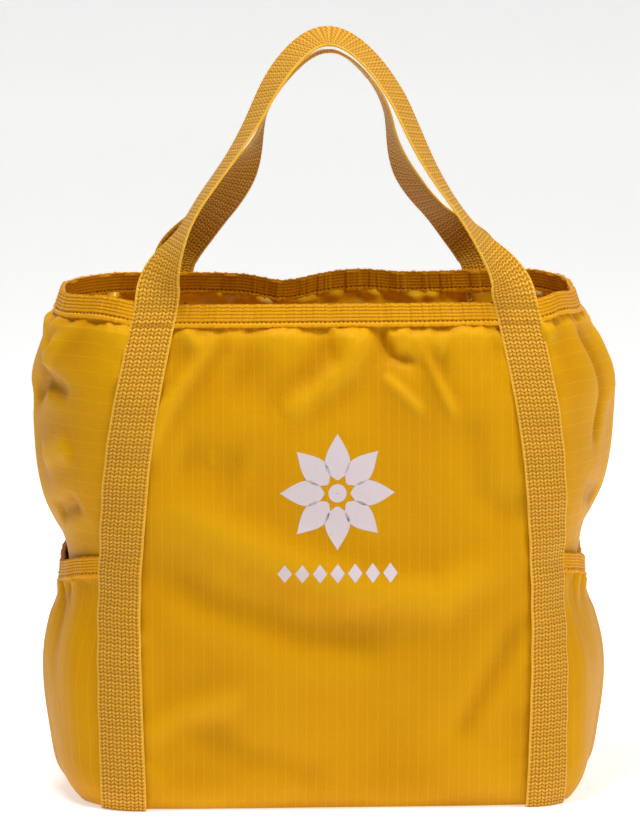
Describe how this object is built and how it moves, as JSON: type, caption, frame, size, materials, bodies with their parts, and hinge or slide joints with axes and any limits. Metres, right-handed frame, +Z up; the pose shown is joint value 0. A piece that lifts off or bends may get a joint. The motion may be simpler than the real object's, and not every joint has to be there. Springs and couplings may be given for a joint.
{
  "type": "foldable_tote_bag",
  "caption": "Foldable ripstop tote bag with an elastic mouth, webbing handles sewn down over the seams, gathered side pockets and a zipped stow pouch inside.",
  "frame": {"origin": "middle of the base panel's underside", "axes": "+X to the right seen from the front, -Y to the front, +Z up"},
  "size_m": [0.4016, 0.1592, 0.5318],
  "materials": {
    "ripstop": "matte",
    "elastic": "matte",
    "webbing": "matte",
    "thread": "satin",
    "print": "matte",
    "zip_plastic": "satin",
    "zip_metal": "satin"
  },
  "bodies": {
    "back_body": {"back_panel": "ripstop", "left_gusset": "ripstop", "right_gusset": "ripstop", "base_panel": "ripstop", "back_left_strap": "webbing", "back_right_strap": "webbing", "back_bar_tacks": "thread", "mouth_elastic_back": "elastic", "mouth_elastic_left": "elastic", "mouth_elastic_right": "elastic"},
    "front_body": {"front_panel": "ripstop", "front_left_strap": "webbing", "front_right_strap": "webbing", "front_bar_tacks": "thread", "mouth_elastic_front": "elastic", "printed_motif": "print", "stow_pouch": "ripstop", "zip_tapes": "webbing", "zip_teeth": "zip_plastic", "zip_stops": "zip_metal"},
    "front_handle": {"front_handle": "webbing"},
    "back_handle": {"back_handle": "webbing"},
    "left_pocket": {"left_pocket": "ripstop", "left_pocket_elastic": "elastic"},
    "right_pocket": {"right_pocket": "ripstop", "right_pocket_elastic": "elastic"},
    "zip_slider": {"zip_slider": "zip_metal"},
    "zip_pull": {"zip_pull": "zip_metal"}
  },
  "joints": [
    {"name": "flatten", "type": "slide", "parent": "back_body", "child": "front_body", "axis": [0, 1, 0], "range_m": [0, 0.0962], "deforming": ["left_gusset", "right_gusset", "base_panel", "mouth_elastic_left", "mouth_elastic_right", "left_pocket", "right_pocket", "left_pocket_elastic", "right_pocket_elastic"]},
    {"name": "front_handle_swing", "type": "hinge", "parent": "front_body", "child": "front_handle", "pos_m": [0, -0.0645, 0.3485], "axis": [1, 0, 0], "range_deg": [0, 150]},
    {"name": "back_handle_swing", "type": "hinge", "parent": "back_body", "child": "back_handle", "pos_m": [0, 0.0645, 0.3485], "axis": [-1, 0, 0], "range_deg": [0, 150]},
    {"name": "left_pocket_open", "type": "hinge", "parent": "back_body", "child": "left_pocket", "pos_m": [-0.15, 0, 0], "axis": [0, -1, 0], "range_deg": [0, 8], "stiffness_Nm_per_rad": 0.05},
    {"name": "right_pocket_open", "type": "hinge", "parent": "back_body", "child": "right_pocket", "pos_m": [0.15, 0, 0], "axis": [0, 1, 0], "range_deg": [0, 8], "stiffness_Nm_per_rad": 0.05},
    {"name": "zip_slide", "type": "slide", "parent": "front_body", "child": "zip_slider", "axis": [1, 0, 0], "range_m": [0, 0.144], "deforming": ["zip_teeth"]},
    {"name": "zip_pull_swing", "type": "hinge", "parent": "zip_slider", "child": "zip_pull", "pos_m": [-0.073, -0.0699, 0.25], "axis": [0, 0, 1], "range_deg": [0, 170]}
  ]
}
